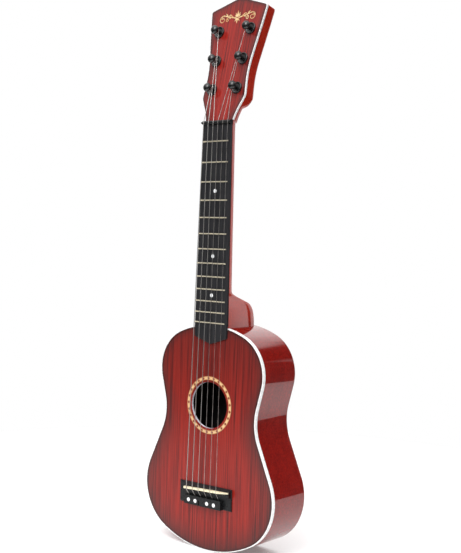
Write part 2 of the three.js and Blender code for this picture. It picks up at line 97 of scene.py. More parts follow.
# Headstock, in its own plane: x across, s up the face from the nut, h out of the face
HEAD_TILT = 12.45
HEAD_Y = 0.72
HEAD_THICKNESS = 16.2
VENEER = 2.2
HEAD_BINDING = 1.0
HEAD_START = 0.4
HEAD_STEP = 2.0
HEAD_COLUMNS = 26
BORE_SIDES = 32
HEAD_SIDE = ((0.4, 20.9), (4, 21.6), (10, 23.6), (16, 26.2), (22, 29.1), (27, 31.2), (29.5, 31.6),
             (43.5, 30.4), (56, 29.9), (69.6, 30.9), (82, 32.9), (95.7, 35.3), (115, 38.5), (132.5, 41.2))
HEAD_CROWN = ((40.9, 134.6), (39.7, 136), (38, 136.9), (9, 146.4), (4.5, 147.6), (1.5, 148.1))
PEGS = ((18.3, 37.5), (19.5, 72.2), (23.0, 107.9))
POST_RADIUS = 2.4
BORE_RADIUS = 4.2
COIL_TURNS = {"treble": 0.45, "bass": 1.75}
COIL_TOP = 5.8
SCROLL_S = 123.5  # middle of the ornament

# Strings, bridge and saddle
STRING_RADII = (0.22, 0.24, 0.28, 0.34, 0.4, 0.46)
NUT_SPACING = 7.06
BRIDGE_SPACING = 8.84
BRIDGE_Z = (51.0, 75.4)
BRIDGE_HALF = 38.6
PLATE = 2.2
BRIDGE_TURN = 0.8  # degrees that the bridge is turned on the soundboard
BRIDGE_CENTRE = 63.2
BLOCK_HALF = 27.0
BLOCK_HEIGHT = 7.0
RIB_HEIGHT = 5.8
RIB_X = (-31.0, 38.0)
SLANT = 0.05
BLOCK_EDGE_Z = 61.3
BLOCK_EDGE_SLANT = 0.022
NOTCH_X = -4.9
SADDLE_Z = 70.5
SADDLE_THICKNESS = 2.4
SADDLE_TOP = 9.0
SADDLE_X = (-28.0, 37.6)
SADDLE_FALL = 14.0  # length of the slope at the saddle's treble end, where it thins too
SADDLE_THINNING = 0.6
TIE_HEIGHT = 4.0
DOT_X = (-20.4, -10.4, 7.3, 17.4)
DOT_Z = 55.8
DOT_RADIUS = 2.25

# Camera, from the guitar's tail and front plane: metres, degrees and millimetres of lens
CAMERA_PLACE = (0.7443, -0.8679, 0.3485)
CAMERA_TURN = (39.64, -1.74, 1.94)  # azimuth, pitch, roll
CAMERA_LENS = 65.64

# Studio. Of the world's lit parts, a height is (edge, softness) of a direction's Z, and the backdrop and the
# wall reach from one angle to the other, in degrees left of straight back.
FLOOR_RADIUS = 0.75
FLOOR_GLOW = 0.17
CEILING_EDGE = (0.6, 0.02)
CEILING_LIGHT = 1.6
BACKDROP = (3, 80)
BACKDROP_SOFTNESS = (0.02, 0.02)
BACKDROP_LIGHT = 1.5
WALL = (-33.0, -8.0)
WALL_SOFTNESS = (0.014, 0.04)
WALL_HEIGHT = (0.3, 0.08)  # the wall stands below this
WALL_LIGHT = 1.9
FRONT_EDGE = (0.25, 0.2)  # how far forward a direction points
FRONT_HEIGHT = (0.17, 0.06)
FRONT_LIGHT = 0.6
DARK_LIGHT = 0.02
AIM = (0, 0, 0.4)  # where the two lamps point


# ---------------------------------------------------------------- mesh building

class Skin:
    """Points, faces and finishes of one piece, in millimetres.

    rim is each point's distance in from the edge, for the shading there.
    """

    def __init__(self):
        self.points = []
        self.rim = []
        self.faces = []
        self.finishes = []

    def loop(self, points, rim=BURST_REACH):
        start = len(self.points)
        self.points += [Vector(point) for point in points]
        self.rim += [rim] * len(points)
        return list(range(start, len(self.points)))

    def face(self, corners, finish=0):
        self.faces.append(corners)
        self.finishes.append(finish)

    def bridge(self, a, b, closed=True, finish=0):
        for i in range(len(a) if closed else len(a) - 1):
            j = (i + 1) % len(a)
            self.face((a[i], a[j], b[j], b[i]), finish)

    def cap(self, *loops, finish=0):
        flat = [i for loop in loops for i in loop]
        outlines = [[self.points[i] for i in loop] for loop in loops]
        for triangle in tessellate_polygon(outlines):
            self.face([flat[i] for i in triangle], finish)

    def stack(self, loops, finish=0, closed=True):
        for a, b in zip(loops, loops[1:]):
            self.bridge(a, b, closed, finish)

    def add(self, other):
        shift = len(self.points)
        self.loop(other.points)
        for corners in other.faces:
            self.face([i + shift for i in corners])


def solid_of(rings):
    """A closed skin through rings of points, with a cap at each end."""
    skin = Skin()
    loops = [skin.loop(ring) for ring in rings]
    skin.stack(loops)
    skin.cap(loops[0])
    skin.cap(loops[-1])
    return skin


def ring_of(rings):
    """A skin through rings of points that closes on its first one."""
    skin = Skin()
    loops = [skin.loop(ring) for ring in rings]
    skin.stack(loops + loops[:1])
    return skin


def finish_edges(work, mesh, sharp_over, bevel, segments):
    """Rounds the sharp edges if asked, marks those that stay sharp, and writes the result to the mesh."""
    if bevel:
        edges = [e for e in work.edges if e.is_manifold and e.calc_face_angle(0) > BEVEL_OVER]
        bmesh.ops.bevel(work, geom=edges, offset=bevel * MM, segments=segments, profile=0.5, affect="EDGES",
                        clamp_overlap=True)
    for edge in work.edges:
        edge.smooth = edge.is_manifold and edge.calc_face_angle(0) < math.radians(sharp_over)
    work.to_mesh(mesh)
    work.free()
    mesh.polygons.foreach_set("use_smooth", [True] * len(mesh.polygons))
    return mesh


def finished_mesh(name, skin, bevel=0.0, sharp_over=38.0):
    """The skin as a mesh in metres, in the row frame."""
    mesh = bpy.data.meshes.new(name)
    mesh.from_pydata([(p.x * MM, p.y * MM + FRONT, p.z * MM) for p in skin.points], [], skin.faces)
    mesh.polygons.foreach_set("material_index", skin.finishes)
    rim = mesh.attributes.new("rim", "FLOAT", "POINT")
    rim.data.foreach_set("value", skin.rim)
    work = bmesh.new()
    work.from_mesh(mesh)
    bmesh.ops.remove_doubles(work, verts=work.verts, dist=1e-7)
    bmesh.ops.recalc_face_normals(work, faces=work.faces)
    return finish_edges(work, mesh, sharp_over, bevel, 3)


def placed(name, data):
    """A new object in the scene."""
    obj = bpy.data.objects.new(name, data)
    bpy.context.collection.objects.link(obj)
    return obj


def piece(name, mesh, materials, body="root", replaces=(), weighted=True):
    """Puts a mesh into the scene as a piece that rides on a body."""
    obj = placed(name, mesh)
    for material in materials:
        mesh.materials.append(material)
    if weighted:
        even = obj.modifiers.new("even_normals", "WEIGHTED_NORMAL")
        even.keep_sharp = True
    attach(obj, body)
    if replaces:
        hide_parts(*replaces)


def refine(node, shape, materials, body="root", weighted=True, sharp_over=38.0):
    """Replaces a CAD node with a finer piece, given as a skin or as a finished mesh."""
    name = f"{node}_fine"
    mesh = finished_mesh(name, shape, sharp_over=sharp_over) if isinstance(shape, Skin) else shape
    piece(name, mesh, materials, body, [node], weighted)


def carve(mesh, cutters, operation="DIFFERENCE"):
    """The mesh with other meshes cut from it or joined to it, as a new mesh."""
    target = placed("carve_target", mesh)
    tools = []
    for i, cutter in enumerate(cutters):
        tool = placed("carve_tool", cutter)
        tools.append(tool)
        step = target.modifiers.new(f"step_{i}", "BOOLEAN")
        step.operation = operation
        step.solver = "EXACT"
        step.object = tool
    bpy.context.view_layer.update()
    result = bpy.data.meshes.new_from_object(target.evaluated_get(bpy.context.evaluated_depsgraph_get()))
    result.name = mesh.name
    for obj in (target, *tools):
        bpy.data.objects.remove(obj)
    return result


def mark_edges(mesh, sharp_over=38.0, bevel=0.0, flatten=True):
    """Rounds and marks the edges of a mesh that booleans have made."""
    work = bmesh.new()
    work.from_mesh(mesh)
    bmesh.ops.remove_doubles(work, verts=work.verts, dist=2e-6)
    if flatten:
        bmesh.ops.dissolve_limit(work, angle_limit=math.radians(0.5), verts=work.verts, edges=work.edges)
    return finish_edges(work, mesh, sharp_over, bevel, 2)


# ---------------------------------------------------------------- outlines and curves

def half_outline(inset):
    """(x, z) points of the right half of the body, from the tail to the shoulder, moved in by inset."""
    points = [Vector((0, inset))]
    heading = 0.0

    def forward(length, direction):
        points.append(points[-1] + heading_vector(direction) * length)

    def arc(radius, turn):
        nonlocal heading
        steps = max(2, math.ceil(abs(turn) / OUTLINE_STEP))
        bend = math.radians(turn) / steps
        for _ in range(steps):
            forward(2 * radius * math.sin(abs(bend) / 2), heading + bend / 2)
            heading += bend

    for size, turn in OUTLINE:
        if turn is None:
            for _ in range(4):
                forward(size / 4, heading)
        else:
            arc(size - math.copysign(inset, turn), turn)
    left = math.pi - heading
    arc(points[-1].x / math.sin(left), math.degrees(left))
    points[-1].x = 0
    return points


def full_outline(inset):
    right = half_outline(inset)
    return right + [Vector((-p.x, p.y)) for p in reversed(right[1:-1])]


def at_depth(outline, y):
    return [(p.x, y, p.y) for p in outline]


def round_angles(count):
    return [2 * math.pi * i / count for i in range(count)]


def heading_vector(angle):
    return Vector((math.cos(angle), math.sin(angle)))


def clamped(share):
    return max(0.0, min(1.0, share))


def circle(x, z, radius, y, count=96):
    return [(x + radius * math.cos(a), y, z + radius * math.sin(a)) for a in round_angles(count)]


def between(points, x):
    """A smooth curve through (x, value) points, read at x."""
    last = len(points) - 1
    i = max(0, min(last - 1, sum(1 for p in points if p[0] <= x) - 1))
    slopes = []
    for k in (i, i + 1):
        before, after = points[max(k - 1, 0)], points[min(k + 1, last)]
        slopes.append((after[1] - before[1]) / (after[0] - before[0]))
    (x0, v0), (x1, v1) = points[i], points[i + 1]
    t = clamped((x - x0) / (x1 - x0))
    width = x1 - x0
    return ((2 * t**3 - 3 * t**2 + 1) * v0 + (t**3 - 2 * t**2 + t) * width * slopes[0]
            + (3 * t**2 - 2 * t**3) * v1 + (t**3 - t**2) * width * slopes[1])


def board_half(z):
    return NUT_HALF + (HEAD_Z - z) * (JOINT_HALF - NUT_HALF) / (HEAD_Z - JOINT_Z)


def shoulder_z(x):
    """Height of the top of the body at x, near the middle, where the outline ends in one arc."""
    *_, before, top = half_outline(0)
    slope = math.atan2(top.y - before.y, before.x - top.x)
    radius = abs(before.x / math.sin(2 * slope))
    return top.y - radius + math.sqrt(radius**2 - x**2)


TILT = math.radians(HEAD_TILT)


def head_point(x, s, h):
    """A point of the headstock's own frame, in guitar millimetres."""
    y = HEAD_Y + s * math.sin(TILT) - h * math.cos(TILT)
    z = HEAD_Z + s * math.cos(TILT) + h * math.sin(TILT)
    return Vector((x, y, z))


def turned(profile, place, count=40):
    """Rings round an axis. place turns (x, s, h) about the axis into guitar millimetres."""
    return [[place(radius * math.cos(a), radius * math.sin(a), h) for a in round_angles(count)]
            for radius, h in profile]


def solid_of_revolution(profile, place, count=40):
    return solid_of(turned(profile, place, count))


def tube(path, radius, count=10):
    """A closed tube along a list of points."""
    rings = []
    for i, here in enumerate(path):
        before, after = path[max(i - 1, 0)], path[min(i + 1, len(path) - 1)]
        along = ((here - before).normalized() + (after - here).normalized()).normalized()
        if i == 0:
            up = along.orthogonal()
        up = (up - along * up.dot(along)).normalized()
        side = along.cross(up)
        rings.append([here + (up * math.cos(a) + side * math.sin(a)) * radius for a in round_angles(count)])
    return solid_of(rings)


def prism(points, low, high, place):
    """A plate with a polygon outline. place turns (a, b, depth) into guitar millimetres."""
    return solid_of([[place(a, b, depth) for a, b in points] for depth in (low, high)])


def rectangle(left, right, low, high):
    return [(left, low), (right, low), (right, high), (left, high)]


def face_plate(a, b, depth):
    return Vector((a, depth, b))


def bar_along_x(a, b, depth):
    return Vector((depth, b, a))


def facing(x, y, z):
    """A place for things turned about an axis that points out of the guitar's front."""
    return lambda a, b, h: Vector((x + a, y - h, z + b))


def upwards(x, y, z):
    """The same for an axis up the guitar."""
    return lambda a, b, h: Vector((x + a, y + b, z + h))


def on_head(x, s):
    """The same for an axis square to the headstock."""
    return lambda a, b, h: head_point(x + a, s + b, h)


# ---------------------------------------------------------------- materials

class Nodes:
    """Short calls for building the node tree of a material or a world."""

    def __init__(self, owner):
        owner.use_nodes = True
        self.tree = owner.node_tree

    def add(self, kind, **settings):
        node = self.tree.nodes.new(kind)
        for label, value in settings.items():
            setattr(node, label, value)
        return node

    def link(self, source, target):
        self.tree.links.new(source, target)

    def axes(self, space):
        """A direction or a place, as its separate X, Y and Z."""
        split = self.add("ShaderNodeSeparateXYZ")
        self.link(self.add("ShaderNodeTexCoord").outputs[space], split.inputs["Vector"])
        return split.outputs

    def place(self, scale):
        """Object coordinates, stretched."""
        where = self.add("ShaderNodeTexCoord")
        mapping = self.add("ShaderNodeMapping")
        mapping.inputs["Scale"].default_value = scale
        self.link(where.outputs["Object"], mapping.inputs["Vector"])
        return mapping.outputs["Vector"]

    def noise(self, scale, stretch=(1, 1, 1), detail=3.0, roughness=0.55):
        node = self.add("ShaderNodeTexNoise")
        node.inputs["Scale"].default_value = scale
        node.inputs["Detail"].default_value = detail
        node.inputs["Roughness"].default_value = roughness
        self.link(self.place(stretch), node.inputs["Vector"])
        return node.outputs["Fac"]

    def ramp(self, value, stops):
        node = self.add("ShaderNodeValToRGB")
        points = node.color_ramp.elements
        while len(points) < len(stops):
            points.new(0.5)
        for point, (place, colour) in zip(points, stops):
            point.position = place
            point.color = (*colour, 1)
        self.link(value, node.inputs["Fac"])
        return node.outputs["Color"]

    def span(self, value, low, high, to_low=0.0, to_high=1.0, kind="LINEAR"):
        node = self.add("ShaderNodeMapRange", interpolation_type=kind)
        limits = {"From Min": low, "From Max": high, "To Min": to_low, "To Max": to_high}
        for label, number in limits.items():
            node.inputs[label].default_value = number
        self.link(value, node.inputs["Value"])
        return node.outputs["Result"]

    def mix(self, share, a, b, blend="MIX"):
        node = self.add("ShaderNodeMix", data_type="RGBA", blend_type=blend)
        for socket, value in (("Factor", share), ("A", a), ("B", b)):
            target = next(i for i in node.inputs if i.name == socket and i.enabled)
            if isinstance(value, (int, float)):
                target.default_value = value
            elif isinstance(value, tuple):
                target.default_value = (*value, 1)
            else:
                self.link(value, target)
        return next(o for o in node.outputs if o.enabled)

    def math(self, operation, a, b=0.0):
        node = self.add("ShaderNodeMath", operation=operation)
        for socket, value in zip(node.inputs, (a, b)):
            if isinstance(value, (int, float)):
                socket.default_value = value
            else:
                self.link(value, socket)
        return node.outputs[0]


class Finish(Nodes):
    """One material, with what changes over its surface linked to its shader."""

    def __init__(self, name, **sockets):
        self.material = bpy.data.materials.new(name)
        super().__init__(self.material)
        self.shader = self.tree.nodes["Principled BSDF"]
        for label, value in sockets.items():
            self.shader.inputs[label.replace("_", " ")].default_value = value

    def colour(self, value):
        self.link(value, self.shader.inputs["Base Color"])

    def roughness(self, value, low, high):
        self.link(self.span(value, 0.3, 0.7, low, high), self.shader.inputs["Roughness"])

    def bump(self, height, strength, distance):
        node = self.add("ShaderNodeBump")
        node.inputs["Strength"].default_value = strength
        node.inputs["Distance"].default_value = distance
        self.link(height, node.inputs["Height"])
        self.link(node.outputs["Normal"], self.shader.inputs["Normal"])


def face_wood(name, tint, burst, upper, gloss, blur):
    """Brick-red stained wood with straight dark grain, shaded brown towards its rim and its upper end.

    burst is the width of the shading at the rim. upper is (height where more shading starts, height where it
    is full, how dark it gets). gloss and blur are the clear coat's.
    """
    n = Finish(name, IOR=1.45, Specular_IOR_Level=0.1, Coat_Weight=gloss, Coat_Roughness=blur)
    broad = n.noise(70, (1, 0, 0.03), 2)
    streaks = n.noise(640, (1, 0, 0.012), 2, 0.5)
    fine = n.noise(1250, (1, 0, 0.012), 2, 0.5)
    grain = n.math("ADD", n.math("MULTIPLY", broad, 0.14), n.math("MULTIPLY", streaks, 0.52))
    grain = n.math("ADD", grain, n.math("MULTIPLY", fine, 0.34))
    wood = n.ramp(grain, ((0.38, (0.095, 0.010, 0.009)), (0.45, (0.185, 0.015, 0.012)),
                          (0.52, (0.285, 0.020, 0.013)), (0.62, (0.335, 0.027, 0.017))))
    wood = n.mix(1.0, wood, tint, "MULTIPLY")
    rim = n.add("ShaderNodeAttribute", attribute_name="rim").outputs["Fac"]
    wobble = n.math("MULTIPLY", n.noise(90, (1, 0, 0.3), 2), burst * 0.3)
    edge = n.math("SUBTRACT", rim, wobble)
    shade = n.math("POWER", n.span(edge, -burst * 0.2, burst, 1.0, 0.0), 1.7)
    low, high, most = upper
    shade = n.math("MAXIMUM", shade, n.span(n.axes("Object")["Z"], low, high, 0.0, most))
    dark = n.mix(0.8, wood, (0.17, 0.18, 0.18), "MULTIPLY")
    dark = n.mix(0.55, dark, (0.040, 0.032, 0.032))
    stained = n.mix(shade, wood, dark)
    last = n.span(rim, 0.001, 0.0045, 0.6, 0.0)
    n.colour(n.mix(last, stained, (0.022, 0.009, 0.009)))
    n.roughness(streaks, 0.36, 0.46)
    n.bump(streaks, 0.05, 0.0004)
    return n.material


def lacquer(name, deep, bright):
    """Deep red gloss lacquer over close-grained wood."""
    n = Finish(name, IOR=1.5, Specular_IOR_Level=0.04, Coat_Weight=1.0, Coat_Roughness=0.02, Coat_IOR=1.5)
    speckle = n.noise(800, (1, 1, 0.6), 3, 0.7)
    streaks = n.noise(160, (1, 1, 0.08), 3, 0.6)
    mixed = n.math("ADD", n.math("MULTIPLY", speckle, 0.8), n.math("MULTIPLY", streaks, 0.2))
    n.colour(n.ramp(mixed, ((0.36, deep), (0.64, bright))))
    n.roughness(speckle, 0.32, 0.5)
    n.bump(n.noise(60, (1, 1, 1), 2), 0.02, 0.0004)
    return n.material


def plastic(name, colour, low, high, grain=(1, 1, 1), scale=500.0, texture=0.05, shine=0.5):
    """Moulded plastic with a faint surface texture."""
    n = Finish(name, IOR=1.49, Specular_IOR_Level=shine)
    mottle = n.noise(scale, grain, 3)
    lighter = tuple(min(1.0, c * 1.25 + 0.004) for c in colour)
    darker = tuple(c * 0.8 for c in colour)
    n.colour(n.ramp(mottle, ((0.35, darker), (0.65, lighter))))
    n.roughness(mottle, low, high)
    n.bump(mottle, texture, 0.0003)
    return n.material


def metal(name, colour, low, high, scale, stretch):
    """Brushed metal."""
    n = Finish(name, Metallic=0.85)
    brushed = n.noise(scale, stretch, 2)
    darker = tuple(c * 0.75 for c in colour)
    n.colour(n.ramp(brushed, ((0.3, darker), (0.7, colour))))
    n.roughness(brushed, low, high)
    return n.material


def rosette_print():
    """A cream ring with a row of red-brown diamonds between thin dark borders."""
    n = Finish("rosette_print", IOR=1.5, Coat_Weight=0.3, Coat_Roughness=0.2)
    where = n.axes("Object")
    up = n.math("SUBTRACT", where["Z"], HOLE_Z * MM)
    across = where["X"]
    radius = n.math("SQRT", n.math("ADD", n.math("MULTIPLY", up, up), n.math("MULTIPLY", across, across)))
    turn = n.math("ARCTAN2", up, across)
    cell = n.math("FRACT", n.math("MULTIPLY", turn, ROSETTE_DIAMONDS / (2 * math.pi)))
    along = n.math("ABSOLUTE", n.math("SUBTRACT", cell, 0.5))
    middle = 0.5 * (ROSETTE[0] + ROSETTE[1]) * MM
    outwards = n.math("ABSOLUTE", n.math("SUBTRACT", radius, middle))
    shape = n.math("ADD", n.math("MULTIPLY", along, 3.7), n.math("MULTIPLY", outwards, 560.0))
    inside = n.span(shape, 0.75, 1.1, 1.0, 0.0)
    border, cream, gold = (0.20, 0.028, 0.016), (0.80, 0.62, 0.36), (0.66, 0.36, 0.14)
    ring = n.ramp(n.span(radius, ROSETTE[0] * MM, ROSETTE[1] * MM),
                  ((0.0, border), (0.09, border), (0.16, gold), (0.5, cream), (0.84, gold), (0.93, border)))
    tint = n.mix(n.noise(420, (1, 1, 1), 3), ring, (0.80, 0.50, 0.28), "MULTIPLY")
    ring = n.mix(0.45, ring, tint)
    n.colour(n.mix(inside, ring, (0.20, 0.022, 0.012)))
    n.roughness(n.noise(300), 0.35, 0.45)
    return n.material


def gold_print():
    """The pale gilt of the ornament."""
    n = Finish("gold_print", Metallic=0.25, IOR=1.5, Coat_Weight=0.3, Coat_Roughness=0.2)
    tone = n.noise(260, (1, 1, 1), 3)
    n.colour(n.ramp(tone, ((0.35, (0.72, 0.36, 0.13)), (0.65, (0.93, 0.74, 0.40)))))
    n.roughness(tone, 0.3, 0.42)
    return n.material


def timber(name, light, dark):
    """Bare wood inside the body, in colours given dark enough to paint in the shade there."""
    n = Finish(name, IOR=1.4)
    grain = n.noise(180, (1, 0.05, 1), 4, 0.6)
    n.colour(n.ramp(grain, ((0.35, dark), (0.65, light))))
    n.roughness(grain, 0.75, 0.95)
    n.bump(grain, 0.1, 0.0005)
    return n.material


def string_wire(name, colour, windings):
    """Music wire. Many windings make a wound string, and a few a slow change of tone."""
    n = Finish(name, Metallic=0.8, Roughness=0.3)
    wave = n.add("ShaderNodeTexWave", wave_type="BANDS", bands_direction="Z")
    wave.inputs["Scale"].default_value = windings
    n.link(n.place((1, 1, 1)), wave.inputs["Vector"])
    darker = tuple(c * 0.7 for c in colour)
    n.colour(n.ramp(wave.outputs["Fac"], ((0.0, darker), (0.6, colour))))
    n.bump(wave.outputs["Fac"], 0.25, 0.0001)
    return n.material


FACE = face_wood("face_wood", (0.93, 0.72, 0.66), 0.029, (0.14, 0.24, 0.5), 0.42, 0.24)
HEAD_FACE = face_wood("headstock_face_wood", (1.14, 0.84, 0.84), 0.014, (0.60, 0.635, 0.5), 0.9, 0.06)
RED = lacquer("red_lacquer", (0.095, 0.0015, 0.001), (0.285, 0.0075, 0.0035))
NECK_RED = lacquer("neck_lacquer", (0.34, 0.010, 0.003), (0.46, 0.024, 0.006))
WHITE = plastic("white_binding", (0.95, 0.96, 0.96), 0.3, 0.4)
PALE_EDGE = plastic("sound_hole_edge", (0.74, 0.73, 0.80), 0.4, 0.5)
BLACK = plastic("black_plastic", (0.007, 0.0075, 0.008), 0.25, 0.36, shine=0.2)
CAP_BLACK = plastic("peg_plastic", (0.006, 0.0065, 0.007), 0.24, 0.34, shine=0.7)
BOARD_BLACK = plastic("fretboard_black", (0.017, 0.017, 0.019), 0.35, 0.55, (1, 1, 0.02), 700, 0.12, 0.27)
CREAM = plastic("saddle_cream", (0.80, 0.72, 0.50), 0.35, 0.45)
DOT_WHITE = plastic("dot_white", (0.88, 0.90, 0.92), 0.3, 0.4)
FRET = metal("fret_metal", (0.80, 0.72, 0.54), 0.3, 0.42, 900, (0.1, 1, 1))
WIRE = string_wire("plain_wire", (0.44, 0.41, 0.39), 20)
WOUND = string_wire("wound_wire", (0.48, 0.46, 0.44), 1400)
ROSETTE_PRINT = rosette_print()
GOLD = gold_print()
# The inner timber is near black: painted shade for the dark inside of the body, not the wood's own colour.
INNER_TIMBER_PAINTED_SHADE = timber("inner_timber", (0.030, 0.019, 0.012), (0.016, 0.010, 0.006))
# The inner faces of the sides and back are near black: painted shade for the dark inside of the body.
INNER_FACE_PAINTED_SHADE = timber("inner_face_painted_shade", (0.012, 0.010, 0.009), (0.006, 0.005, 0.005))


# ---------------------------------------------------------------- body

def make_soundboard():
    skin = Skin()
    edge = BINDING_WIDTH + SEAM
    profile = [(edge, BOARD_THICKNESS), (edge, 0.3), (edge + 0.08, 0.08), (edge + 0.3, 0)]
    profile += [(inset, 0) for inset in (2, 3, 4, 5.5, 7, 9, 11, 13.5, 16, 19, 23, 28, BURST_REACH)]
    loops = [skin.loop(at_depth(full_outline(inset), y), inset * MM) for inset, y in profile]
    skin.stack(loops)
    lip = [(HOLE_RADIUS + 0.3, 0), (HOLE_RADIUS + 0.08, 0.08), (HOLE_RADIUS, 0.3),
           (HOLE_RADIUS, BOARD_THICKNESS)]
    hole = [skin.loop(circle(0, HOLE_Z, radius, y), BURST_REACH * MM) for radius, y in lip]
    skin.stack(hole[:3])
    skin.bridge(hole[2], hole[3], finish=1)
    skin.cap(loops[-1], hole[0])
    skin.cap(loops[0], hole[-1])
    refine("soundboard", skin, [FACE, PALE_EDGE])


def make_binding():
    r = 0.35
    profile = [(0, BINDING_DEPTH), (0, r), (0.1, 0.1), (r, 0), (BINDING_WIDTH - 0.08, 0),
               (BINDING_WIDTH, 0.08), (BINDING_WIDTH, BINDING_DEPTH)]
    skin = ring_of([at_depth(full_outline(inset), y) for inset, y in profile])
    refine("body_binding", skin, [WHITE])


def make_side(sign, node):
    skin = Skin()
    front = BINDING_DEPTH + SEAM
    back = BODY_DEPTH - BACK_THICKNESS - SEAM
    profile = [(0, front), (0, (front + back) / 2), (0, back), (SIDE_THICKNESS, back),
               (SIDE_THICKNESS, front)]
    loops = []
    for inset, y in profile:
        line = half_outline(inset)
        line[0].x = line[-1].x = SEAM / 2
        loops.append(skin.loop([(sign * p.x, y, p.y) for p in line]))
    skin.stack(loops[:3], closed=False)
    # The inner face takes the near-black painted shade of the inside.
    skin.stack(loops[2:] + loops[:1], finish=1, closed=False)
    for end in (0, -1):
        skin.face([loop[end] for loop in loops])
    refine(node, skin, [RED, INNER_FACE_PAINTED_SHADE])


def make_back():
    skin = Skin()
    r = 0.7
    profile = [(0, BODY_DEPTH - BACK_THICKNESS), (0, BODY_DEPTH - r)]
    profile += [(r * (1 - math.cos(a)), BODY_DEPTH - r + r * math.sin(a))
                for a in (math.pi / 8, math.pi / 4, 3 * math.pi / 8, math.pi / 2)]
    loops = [skin.loop(at_depth(full_outline(inset), y)) for inset, y in profile]
    skin.stack(loops)
    # The inner face takes the near-black painted shade of the inside.
    skin.cap(loops[0], finish=1)
    skin.cap(loops[-1])
    refine("back_plate", skin, [RED, INNER_FACE_PAINTED_SHADE])


def make_rosette():
    inner, outer = ROSETTE
    back, raised_to = -0.02, -0.12
    profile = [(inner, back), (inner + 0.05, raised_to), (outer - 0.05, raised_to), (outer, back)]
    skin = ring_of([circle(0, HOLE_Z, radius, y, 144) for radius, y in profile])
    refine("rosette", skin, [ROSETTE_PRINT])


def finish_inside():
    """The hidden timber keeps its CAD shape and gets wood, darkened as painted shade for the dark inside of
    the body.
    """
    for name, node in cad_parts.items():
        if name.startswith(("lining", "brace", "neck_block", "tail_block")):
            node.data.materials.clear()
            node.data.materials.append(INNER_TIMBER_PAINTED_SHADE)


# ---------------------------------------------------------------- neck

def neck_section(origin, backwards, half, depth, roundness, taper=0.0, count=36):
    """Points from the left front corner round the back to the right front corner."""
    points = []
    for i in range(count + 1):
        angle = math.pi * i / count
        c, s = math.cos(angle), math.sin(angle)
        across = -math.copysign(abs(c) ** (2 / roundness), c)
        deep = max(s, 0.0) ** (2 / roundness)
        point = origin + backwards * (depth * deep)
        point.x += half * across * (1 - taper * deep * (2 - deep))
        points.append(point)
    return points


def make_neck():
    """One skin from the heel up the shaft and on round the headstock, with the peg holes cut from it."""
    back = Vector((0, 1, 0))
    front = BOARD_BACK + SEAM
    sections = []
    heel_steps, shaft_steps, heel_length = 33, 12, 51
    shaft = JOINT_Z + heel_length
    heights = [JOINT_Z + (shaft - JOINT_Z) * i / heel_steps for i in range(heel_steps + 1)]
    heights += [shaft + (HEEL[-1][0] - shaft) * i / shaft_steps for i in range(1, shaft_steps + 1)]
    for z in heights:
        reach = between(HEEL, z)
        share = clamped((reach - HEEL_START[0]) / HEEL_START[1])
        section = neck_section(Vector((0, front, z)), back, board_half(z) - 0.15, reach - front,
                               ROUND_NECK + HEEL_SQUARENESS * share, HEEL_TAPER * share)
        if z == heights[0]:
            for point in section:
                point.z = shoulder_z(point.x) + 0.1
        sections.append(section)
    inwards = head_point(0, 0, -1) - head_point(0, 0, 0)
    under_nut = Vector((0, front, NUT_Z + NUT_THICKNESS - SEAM))
    sections.append(neck_section(under_nut, inwards, NUT_HALF, HEEL[-1][1], ROUND_NECK))
    face = -(VENEER + 0.1)
    for s, half in head_stations():
        share = clamped((s - VOLUTE[0]) / (VOLUTE[1] - VOLUTE[0]))
        squareness = HEAD_SQUARENESS[0] + (HEAD_SQUARENESS[1] - HEAD_SQUARENESS[0]) * share
        start = head_point(0, s, face)
        sections.append(neck_section(start, inwards, half, HEAD_THICKNESS + face, squareness))
    mesh = carve(finished_mesh("neck_fine", solid_of(sections)), [bores(40)])
    refine("neck", mark_edges(mesh, 32), [NECK_RED])


def head_stations():
    """(s, half width) from the nut to the crown, close together."""
    rows = math.ceil((HEAD_SIDE[-1][0] - HEAD_START) / HEAD_STEP)
    stations = []
    for i in range(rows + 1):
        s = HEAD_START + (HEAD_SIDE[-1][0] - HEAD_START) * i / rows
        stations.append((s, between(HEAD_SIDE, s)))
    return stations + [(s, x) for x, s in HEAD_CROWN]


def head_outline(inset):
    """(x, s) points of the headstock, moved in by inset, from the nut's right round to its left."""
    right = [Vector((x, s)) for s, x in head_stations()]
    moved = []
    for i, point in enumerate(right):
        before, after = right[max(i - 1, 0)], right[min(i + 1, len(right) - 1)]
        along = (after - before).normalized()
        moved.append(point + Vector((-along.y, along.x)) * inset)
    moved[0] = Vector((right[0].x - inset, HEAD_START))
    moved[-1].x = max(moved[-1].x, 0.6)
    return moved + [Vector((-p.x, p.y)) for p in reversed(moved)]


def rim_of_headstock(mesh):
    """Marks each point with its distance in from the sides and the crown."""
    edge = [Vector((half, s)) for s, half in head_stations()]
    edge.append(Vector((0, edge[-1].y)))
    up = head_point(0, 1, 0) - head_point(0, 0, 0)
    start = head_point(0, 0, 0)
    distances = []
    for vertex in mesh.vertices:
        here = vertex.co / MM - Vector((0, FRONT / MM, 0)) - start
        spot = Vector((abs(here.x), here.dot(up)))
        nearest = BURST_REACH
        for a, b in zip(edge, edge[1:]):
            share = clamped((spot - a).dot(b - a) / (b - a).length_squared)
            nearest = min(nearest, (spot - a - (b - a) * share).length)
        distances.append(nearest * MM)
    mesh.attributes["rim"].data.foreach_set("value", distances)
    return mesh


def peg_places():
    """(x, s) of pegs 1 to 6: up the right side, then down the left."""
    return list(PEGS) + [(-x, s) for x, s in reversed(PEGS)]


def bores(length):
    """One mesh with a cylinder through each peg hole."""
    skin = Skin()
    profile = [(BORE_RADIUS, -length / 2), (BORE_RADIUS, length / 2)]
    for x, s in peg_places():
        skin.add(solid_of_revolution(profile, on_head(x, s), BORE_SIDES))
    return finished_mesh("bores", skin)


